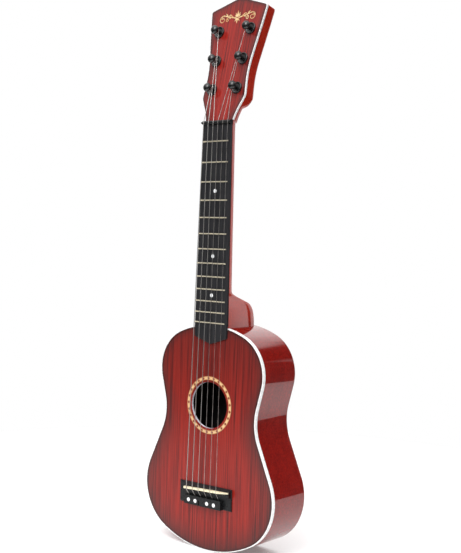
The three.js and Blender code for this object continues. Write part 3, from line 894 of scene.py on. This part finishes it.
def make_headstock_facing():
    """The veneer. Its face is a grid, so that the shading at its rim has points to lie on."""
    skin = Skin()
    edge = HEAD_BINDING + SEAM
    profile = [(edge, -VENEER), (edge, -0.25), (edge + 0.08, -0.06), (edge + 0.25, 0)]
    outlines = [(head_outline(inset), h) for inset, h in profile]
    loops = [skin.loop([head_point(p.x, p.y, h) for p in outline]) for outline, h in outlines]
    skin.stack(loops)
    skin.cap(loops[0])
    top = outlines[-1][0]
    across = [1 - 2 * k / HEAD_COLUMNS for k in range(1, HEAD_COLUMNS)]
    rows = []
    for i, end in enumerate(top[:len(top) // 2]):
        inner = [head_point(end.x * share, end.y, 0) for share in across]
        rows.append([loops[-1][i]] + skin.loop(inner) + [loops[-1][-1 - i]])
    skin.stack(rows, closed=False)
    mesh = carve(finished_mesh("headstock_veneer_fine", skin), [bores(12)])
    mesh = rim_of_headstock(mark_edges(mesh, 32, flatten=False))
    refine("headstock_veneer", mesh, [HEAD_FACE])


def make_headstock_binding():
    skin = Skin()
    profile = [(0, -VENEER), (0, -0.3), (0.1, -0.08), (0.3, 0), (HEAD_BINDING, 0), (HEAD_BINDING, -VENEER)]
    loops = [skin.loop([head_point(p.x, p.y, h) for p in head_outline(inset)]) for inset, h in profile]
    skin.stack(loops + loops[:1], closed=False)
    for end in (0, -1):
        skin.face([loop[end] for loop in loops])
    refine("headstock_binding", skin, [WHITE])


def make_fretboard():
    """A flat board over the body and the neck, let into the neck over the neck's length."""
    top = NUT_Z - SEAM
    half = board_half
    over_body = [(-half(BOARD_END_Z), BOARD_END_Z), (0, BOARD_TIP_Z), (half(BOARD_END_Z), BOARD_END_Z),
                 (half(top), top), (-half(top), top)]
    start = JOINT_Z + 0.2
    over_neck = [(-half(start), start), (half(start), start), (half(top), top), (-half(top), top)]
    board = finished_mesh("fretboard_fine", prism(over_body, BOARD_TOP, -SEAM, face_plate))
    lower = finished_mesh("fretboard_lower", prism(over_neck, BOARD_TOP + 0.5, BOARD_BACK, face_plate))
    mesh = carve(board, [lower], "UNION")
    refine("fretboard", mark_edges(mesh, 38, 0.3), [BOARD_BLACK])


def fret_z(n):
    return FIRST_FRET_Z - FIRST_FRET_GAP * (1 - FRET_RATIO ** (n - 1)) / (1 - FRET_RATIO)


def make_frets():
    """Half-round wires that thin at their ends. size is a section's share of the full one."""
    angles = [math.pi * i / 12 for i in range(13)]
    for n in range(1, FRETS + 1):
        z = fret_z(n)
        half = board_half(z)
        left, right = -half + 0.15, half - FRET_SHORT
        ends = ((left, 0.75), (left + 0.15, 0.95), (left + 0.5, 1),
                (right - 0.5, 1), (right - 0.15, 0.95), (right, 0.75))
        sections = [[(x, BOARD_TOP + 0.05 - math.sin(a) * size, z + FRET_RADIUS * math.cos(a) * size)
                     for a in angles] for x, size in ends]
        refine(f"fret_{n:02d}", solid_of(sections), [FRET])


def make_position_dots():
    profile = [(2.25, -0.3), (2.25, 0), (2.05, 0.12), (1.2, 0.17)]
    for n in (4, 8, 11):
        place = facing(0, BOARD_TOP + 0.02, (fret_z(n) + fret_z(n - 1)) / 2)
        name = f"position_dot_{n:02d}"
        mesh = finished_mesh(name, solid_of_revolution(profile, place, 32))
        piece(name, mesh, [DOT_WHITE])


def string_x(number, spacing):
    return (3.5 - number) * spacing


def make_nut():
    """A bar across the board with a small lug at its bass end and a slot for each string."""
    top = NUT_Z + NUT_THICKNESS
    ends = board_half(NUT_Z) + 0.2
    section = [(NUT_Z, BOARD_BACK), (NUT_Z, NUT_TOP + 1.3), (NUT_Z + 0.2, NUT_TOP + 0.6),
               (NUT_Z + 0.7, NUT_TOP + 0.15), (NUT_Z + 1.4, NUT_TOP), (top - 1.5, NUT_TOP + 0.1),
               (top - 0.6, NUT_TOP + 0.6), (top, NUT_TOP + 1.6), (top, BOARD_BACK)]
    bar = finished_mesh("nut_fine", prism(section, -ends, ends, bar_along_x))

    def lug_place(a, b, h):
        return Vector((-ends - 2 + h, NUT_TOP + 1.4 + a, NUT_Z + 2 + b))

    lug = solid_of_revolution([(0.6, 0), (0.9, 0.2), (1, 0.6), (1, 2.8)], lug_place, 24)
    solid = carve(bar, [finished_mesh("nut_lug", lug)], "UNION")
    slots = Skin()
    for number, radius in enumerate(STRING_RADII, 1):
        x = string_x(number, NUT_SPACING)
        wide = radius + 0.12
        outline = rectangle(x - wide, x + wide, NUT_Z - 2, top + 2)
        slots.add(prism(outline, SLOT_FLOOR - 3, SLOT_FLOOR, face_plate))
    mesh = carve(solid, [finished_mesh("nut_slots", slots)])
    refine("nut", mark_edges(mesh, 38, 0.12), [BLACK])


# ---------------------------------------------------------------- bridge

def slanted(z, slope, x):
    return z + slope * x


def along_bridge(a, b, depth):
    """A place on the turned bridge: a up the guitar, b back from the soundboard, depth to the right."""
    turn = math.radians(BRIDGE_TURN)
    up = a - BRIDGE_CENTRE
    return Vector((depth * math.cos(turn) - up * math.sin(turn), b,
                   BRIDGE_CENTRE + depth * math.sin(turn) + up * math.cos(turn)))


def bridge_plate():
    """A plate, lower at its ends, with a rib for the saddle and a block that the strings are tied to."""
    low, high = BRIDGE_Z
    base = -0.03
    top = base - PLATE
    bevel, drop = 1.3, 1.1
    section = [(low, base), (low, top + drop), (low + bevel, top), (high - bevel, top), (high, top + drop),
               (high, base)]
    ends = ((-BRIDGE_HALF, drop), (bevel - BRIDGE_HALF, 0), (BRIDGE_HALF - bevel, 0), (BRIDGE_HALF, drop))
    plate = solid_of([[along_bridge(z, max(y, top + lowered), x) for z, y in section]
                      for x, lowered in ends])
    root = -1.2
    rib = prism([(66, root), (66.8, -RIB_HEIGHT), (72.6, -RIB_HEIGHT), (high - 0.4, -PLATE),
                 (high - 0.4, root)], *RIB_X, along_bridge)
    slope = math.tan(math.radians(BRIDGE_TURN))
    corners = rectangle(-BLOCK_HALF, BLOCK_HALF, low + 0.1, BLOCK_EDGE_Z)
    slopes = (slope, slope, BLOCK_EDGE_SLANT, BLOCK_EDGE_SLANT)
    outline = [(x, slanted(z, rise, x)) for (x, z), rise in zip(corners, slopes)]
    block = prism(outline, -BLOCK_HEIGHT, root, face_plate)
    added = [finished_mesh("rib", rib), finished_mesh("block", block)]
    return carve(finished_mesh("bridge_fine", plate), added, "UNION")


def make_bridge():
    tilt = math.atan(SLANT)
    half = SADDLE_THICKNESS / 2 + 0.1
    slot = [(x * math.cos(tilt) - z * math.sin(tilt), SADDLE_Z + x * math.sin(tilt) + z)
            for x, z in rectangle(SADDLE_X[0] - 0.2, SADDLE_X[1] + 0.2, -half, half)]
    cutters = [finished_mesh("slot", prism(slot, -20, -2.5, face_plate))]
    notch = rectangle(NOTCH_X - 0.75, NOTCH_X + 0.75, BRIDGE_Z[0] - 1, 57)
    cutters.append(finished_mesh("notch", prism(notch, -20, -BLOCK_HEIGHT + 1.6, face_plate)))
    for number in range(1, 7):
        x = string_x(number, BRIDGE_SPACING)
        edge = slanted(BLOCK_EDGE_Z, BLOCK_EDGE_SLANT, x)
        hole = solid_of_revolution([(0.9, -4.5), (0.9, 2)], upwards(x, -TIE_HEIGHT, edge), 20)
        cutters.append(finished_mesh(f"hole_{number}", hole))
    for x in DOT_X:
        profile = [(DOT_RADIUS + 0.08, -0.9), (DOT_RADIUS + 0.08, 2)]
        recess = solid_of_revolution(profile, facing(x, -BLOCK_HEIGHT, DOT_Z), 32)
        cutters.append(finished_mesh("recess", recess))
    mesh = carve(bridge_plate(), cutters)
    refine("bridge", mark_edges(mesh, 35, 0.22), [BLACK])


def make_bridge_dots():
    profile = [(DOT_RADIUS, -0.85), (DOT_RADIUS, 0.05), (2.05, 0.25), (1.4, 0.36), (0.85, 0.34),
               (0.6, 0.18), (0.3, 0.1)]
    for number, x in enumerate(DOT_X, 1):
        skin = solid_of_revolution(profile, facing(x, -BLOCK_HEIGHT, DOT_Z), 32)
        refine(f"bridge_dot_{number}", skin, [DOT_WHITE])


def make_saddle():
    tilt = math.atan(SLANT)
    half = SADDLE_THICKNESS / 2
    left, right = SADDLE_X
    foot = -2.7
    outline = [(left, foot), (right - SADDLE_FALL, foot), (right, foot)]
    fall = SADDLE_TOP - RIB_HEIGHT - 0.6
    for i in range(9):
        t = i / 8
        outline.append((right - SADDLE_FALL * t, -SADDLE_TOP + fall * (1 - t) ** 1.6))
    outline += [(left + 1.6, -SADDLE_TOP), (left + 0.5, -SADDLE_TOP + 0.5), (left, -SADDLE_TOP + 1.6)]

    def place(a, b, depth):
        depth *= 1 - SADDLE_THINNING * max(0.0, (a - right + SADDLE_FALL) / SADDLE_FALL)
        return Vector((a * math.cos(tilt) - depth * math.sin(tilt), b,
                       SADDLE_Z + a * math.sin(tilt) + depth))

    refine("saddle", finished_mesh("saddle_fine", prism(outline, -half, half, place), 0.55), [CREAM])


# ---------------------------------------------------------------- strings and pegs

def wrap_points(peg, start, turns, side, radius, top, pitch):
    """A helix round a post, going down towards the headstock."""
    x, s = peg
    steps = max(2, round(turns * 24))
    points = []
    for i in range(steps + 1):
        angle = start - side * 2 * math.pi * turns * i / steps
        points.append(head_point(x + radius * math.cos(angle), s + radius * math.sin(angle),
                                 top - pitch * turns * i / steps))
    return points


def make_strings():
    """Each string from its tie over the saddle and the nut to its post, and its wraps on the post."""
    for number, (radius, peg) in enumerate(zip(STRING_RADII, peg_places()), 1):
        treble = number <= 3
        side = 1 if treble else -1
        at_saddle, at_nut = string_x(number, BRIDGE_SPACING), string_x(number, NUT_SPACING)
        edge = slanted(BLOCK_EDGE_Z, BLOCK_EDGE_SLANT, at_saddle)
        crown = slanted(SADDLE_Z, SLANT, at_saddle)
        over = SADDLE_TOP + radius
        in_slot = SLOT_FLOOR - radius
        wrap = POST_RADIUS - 0.2 + radius + 0.03
        arm = Vector((at_nut - peg[0], 2.0 - peg[1]))
        start = math.atan2(arm.y, arm.x) - side * math.acos(wrap / arm.length)
        path = [(at_saddle, -TIE_HEIGHT, edge - 3), (at_saddle, -TIE_HEIGHT, edge + 0.5),
                (at_saddle, -over + 0.8, crown - 2.4), (at_saddle, -over + 0.1, crown - 1.2),
                (at_saddle, -over, crown), (at_saddle, -over + 0.02, crown + 2),
                (at_nut, in_slot, NUT_Z + 0.8), (at_nut, in_slot + 0.05, NUT_Z + 2.4),
                (at_nut, in_slot + 0.6, NUT_Z + 4.2)]
        path = [Vector(point) for point in path] + wrap_points(peg, start, 0.2, side, wrap, COIL_TOP, 1.0)
        material = WIRE if treble else WOUND
        refine(f"string_{number}", tube(path, radius, 12), [material], weighted=False,
               sharp_over=60)
        turns = COIL_TURNS["treble" if treble else "bass"]
        helix = wrap_points(peg, start, turns, side, wrap, COIL_TOP - 0.02, 2 * radius + 0.1)
        coil = f"string_coil_{number}"
        piece(coil, finished_mesh(coil, tube(helix, radius, 10), sharp_over=60), [material],
              body=f"peg_{number}", weighted=False)


def peg_key(place):
    """An oval key: each row is (height, half its height across, half its width)."""
    top = -HEAD_THICKNESS - 0.15
    key = ((0.0, 4.7, 4.7), (-0.4, 5.0, 5.0), (-2.6, 4.7, 4.7), (-3.3, 4.9, 3.6), (-4.0, 6.0, 2.7),
           (-5.0, 7.1, 2.3), (-6.2, 7.7, 2.2), (-7.4, 7.6, 2.15), (-8.4, 6.8, 1.9), (-9.0, 5.2, 1.4),
           (-9.2, 3.0, 0.7))
    return solid_of([[place(wide * math.cos(a), tall * math.sin(a), top + h) for a in round_angles(40)]
                     for h, tall, wide in key])


def make_pegs():
    """Six flanges let into the headstock, each with a capped post and a key that turn in it."""
    sleeve = BORE_RADIUS - 0.1
    bore = POST_RADIUS + 0.1
    waist = POST_RADIUS - 0.2
    end = -HEAD_THICKNESS - 3.4
    bushing = [(bore, -7), (sleeve, -7), (sleeve, 0.03), (6.75, 0.03), (6.9, 0.25), (6.9, 1.45),
               (6.75, 1.9), (6.45, 2.15), (6.1, 2.2), (5.8, 2.05), (5.2, 1.5), (4.7, 1.15), (4.2, 1.05),
               (bore + 0.1, 1.05), (bore, 0.95)]
    post = [(1.9, end), (POST_RADIUS, end + 0.4), (POST_RADIUS, 1.6), (waist, 1.9), (waist, 6.3),
            (2.5, 6.6), (3.3, 6.85), (4.1, 7.25), (4.75, 7.85), (5.05, 8.6), (5.1, 9.4), (4.95, 10.3),
            (4.5, 11.2), (3.75, 12.05), (2.8, 12.7), (1.7, 13.1), (0.6, 13.3)]
    for number, (x, s) in enumerate(peg_places(), 1):
        place = on_head(x, s)
        body = f"peg_{number}"
        refine(f"peg_bushing_{number}", ring_of(turned(bushing, place)), [CAP_BLACK])
        refine(f"peg_post_{number}", solid_of_revolution(post, place), [CAP_BLACK], body)
        refine(f"peg_button_{number}", peg_key(place), [BLACK], body)


# ---------------------------------------------------------------- ornament

def raised(skin, edge):
    """Adds a thin flat shape that lies on the headstock."""
    skin.add(prism(edge, 0.02, 0.13, head_point))


def leaf(skin, root, degrees, length, width):
    """A pointed leaf that is widest near its root."""
    along = heading_vector(math.radians(degrees))
    across = Vector((-along.y, along.x))
    steps = 10
    right, left = [], []
    for i in range(steps + 1):
        t = i / steps
        half = width * math.sin(math.pi * t ** 0.8) * (1 - 0.3 * t)
        right.append(root + along * (length * t) - across * half)
        left.append(root + along * (length * t) + across * half)
    raised(skin, right + left[-2:0:-1])


def stroke(skin, points, wide, narrow):
    """A flat line that thins along its length."""
    last = len(points) - 1
    left, right = [], []
    for i, point in enumerate(points):
        along = (points[min(i + 1, last)] - points[max(i - 1, 0)]).normalized()
        half = (wide + (narrow - wide) * i / last) / 2
        left.append(point + Vector((-along.y, along.x)) * half)
        right.append(point - Vector((-along.y, along.x)) * half)
    raised(skin, right + left[::-1])


def tendril(skin, side, root, degrees, length, curl, radius, wide):
    """A line that runs out from its root and winds up.

    curl is how far it winds, in degrees, and radius that of its first turn.
    """
    points = [Vector(root)]
    heading = math.radians(degrees)
    straight_steps, curl_steps, tightening = 8, 40, 0.72
    for _ in range(straight_steps):
        points.append(points[-1] + heading_vector(heading) * (length / straight_steps))
    bend = math.radians(curl) / curl_steps
    for i in range(curl_steps):
        heading += bend
        step = radius * (1 - tightening * i / curl_steps) * abs(bend)
        points.append(points[-1] + heading_vector(heading) * step)
    points = [Vector((side * p.x, p.y)) for p in points]
    stroke(skin, points, wide, 0.45)
    raised(skin, [points[-1] + heading_vector(a) * 0.75 for a in round_angles(16)])


def make_ornament():
    """A plain scroll of the maker's own: tendrils and leaves each way from a fan of leaves.

    tendrils: ((out, up), degrees, length, curl, radius, width). leaves: (out, up, degrees, length, width).
    """
    tendrils = (((1.5, -0.3), 14, 19.5, -400, 4.8, 1.3), ((12.0, 2.8), -30, 4.0, -340, 2.3, 0.95),
                ((6.5, 1.2), 40, 4.5, -300, 2.2, 0.95), ((20.0, 5.2), -22, 4.0, -330, 1.9, 0.9))
    leaves = ((14.5, 3.6, 44, 5.0, 0.75), (9.0, 2.0, -34, 4.0, 0.75), (17.5, 4.4, -14, 3.6, 0.75),
              (0.6, 1, 62, 6.4, 0.85), (0.6, 1, 34, 4.8, 0.85), (0.5, -0.4, -52, 5.0, 0.85))
    skin = Skin()
    for side in (1, -1):
        for (out, up), *shape in tendrils:
            tendril(skin, side, (out, SCROLL_S + up), *shape)
        for out, up, degrees, length, width in leaves:
            angle = degrees if side == 1 else 180 - degrees
            leaf(skin, Vector((side * out, SCROLL_S + up)), angle, length, width)
    leaf(skin, Vector((0, SCROLL_S + 0.6)), 90, 8.6, 1.15)
    leaf(skin, Vector((0, SCROLL_S)), -90, 7.0, 1.1)
    mesh = finished_mesh("headstock_scroll", skin)
    piece("headstock_scroll", mesh, [GOLD], weighted=False)


# ---------------------------------------------------------------- camera and studio

def make_camera():
    x, y, z = CAMERA_PLACE
    azimuth, pitch, roll = (math.radians(angle) for angle in CAMERA_TURN)
    data = bpy.data.cameras.new("camera")
    data.lens = CAMERA_LENS
    data.sensor_width = 36
    camera = placed("camera", data)
    turn = Matrix.Rotation(azimuth, 4, "Z") @ Matrix.Rotation(math.pi / 2 + pitch, 4, "X")
    place = Matrix.Translation((x, FRONT + y, z))
    camera.matrix_world = place @ turn @ Matrix.Rotation(roll, 4, "Z")
    bpy.context.scene.camera = camera


def make_floor():
    """A round white table, lit a little from inside as a light table is."""
    count = 64
    points = [(0, 0, 0)] + [(x, z, 0) for x, _, z in circle(0, 0, FLOOR_RADIUS, 0, count)]
    faces = [(0, i, i % count + 1) for i in range(1, count + 1)]
    mesh = bpy.data.meshes.new("floor")
    mesh.from_pydata(points, [], faces)
    floor = placed("floor", mesh)
    n = Finish("floor_white", Roughness=0.9, Specular_IOR_Level=0.1, Emission_Strength=FLOOR_GLOW)
    n.shader.inputs["Emission Color"].default_value = (1, 1, 1, 1)
    n.colour(n.ramp(n.noise(3), ((0.3, (0.79, 0.79, 0.79)), (0.7, (0.81, 0.81, 0.81)))))
    mesh.materials.append(n.material)


def make_world():
    """A dark studio with a bright ceiling, a white backdrop, a wall below it and a glow in front.

    The camera itself sees plain white.
    """
    world = bpy.data.worlds.new("studio")
    n = Nodes(world)
    way = n.axes("Generated")

    def beyond(value, edge, soft):
        return n.span(value, edge - soft, edge + soft, kind="SMOOTHSTEP")

    def side_of(degrees_left, turn):
        """How far a direction lies past an upright plane, at an angle left of straight back."""
        angle = math.radians(degrees_left)
        return n.math("ADD", n.math("MULTIPLY", way["X"], -math.cos(angle) * turn),
                      n.math("MULTIPLY", way["Y"], -math.sin(angle) * turn))

    def panel(ends, softness, light):
        inside = n.math("MULTIPLY", beyond(side_of(ends[0], 1), 0, softness[0]),
                        beyond(side_of(ends[1], -1), 0, softness[1]))
        return n.math("MULTIPLY", inside, light)

    ceiling = n.math("MULTIPLY", beyond(way["Z"], *CEILING_EDGE), CEILING_LIGHT)
    backdrop = panel(BACKDROP, BACKDROP_SOFTNESS, BACKDROP_LIGHT)
    wall = panel(WALL, WALL_SOFTNESS, WALL_LIGHT)
    wall = n.math("MULTIPLY", wall, n.math("SUBTRACT", 1, beyond(way["Z"], *WALL_HEIGHT)))
    front = n.math("MULTIPLY", beyond(n.math("MULTIPLY", way["Y"], -1), *FRONT_EDGE),
                   beyond(way["Z"], *FRONT_HEIGHT))
    front = n.math("MULTIPLY", front, FRONT_LIGHT)
    strength = DARK_LIGHT
    for part in (ceiling, backdrop, wall, front):
        strength = n.math("MAXIMUM", part, strength)
    seen = n.add("ShaderNodeMix")
    n.link(n.add("ShaderNodeLightPath").outputs["Is Camera Ray"], seen.inputs["Factor"])
    n.link(strength, seen.inputs["A"])
    seen.inputs["B"].default_value = 1.0
    background = n.tree.nodes["Background"]
    background.inputs["Color"].default_value = (1, 1, 1, 1)
    n.link(seen.outputs["Result"], background.inputs["Strength"])
    bpy.context.scene.world = world


def area_light(name, place, size, power):
    data = bpy.data.lights.new(name, "AREA")
    data.shape = "RECTANGLE"
    data.size = data.size_y = size
    data.energy = power
    light = placed(name, data)
    light.location = place
    light.rotation_euler = (Vector(AIM) - Vector(place)).to_track_quat("-Z", "Y").to_euler()
    light.visible_camera = False


def make_lights():
    area_light("front", (0.5, -2.2, 1.8), 1.4, 35)
    area_light("key", (0.33, -1.25, 2.1), 0.8, 14)
    bpy.context.scene.view_settings.view_transform = "Standard"


make_camera()
make_floor()
make_world()
make_lights()
make_soundboard()
make_binding()
make_side(1, "side_right")
make_side(-1, "side_left")
make_back()
make_rosette()
finish_inside()
make_neck()
make_headstock_facing()
make_headstock_binding()
make_fretboard()
make_frets()
make_position_dots()
make_nut()
make_bridge()
make_bridge_dots()
make_saddle()
make_strings()
make_pegs()
make_ornament()

bpy.context.view_layer.update()
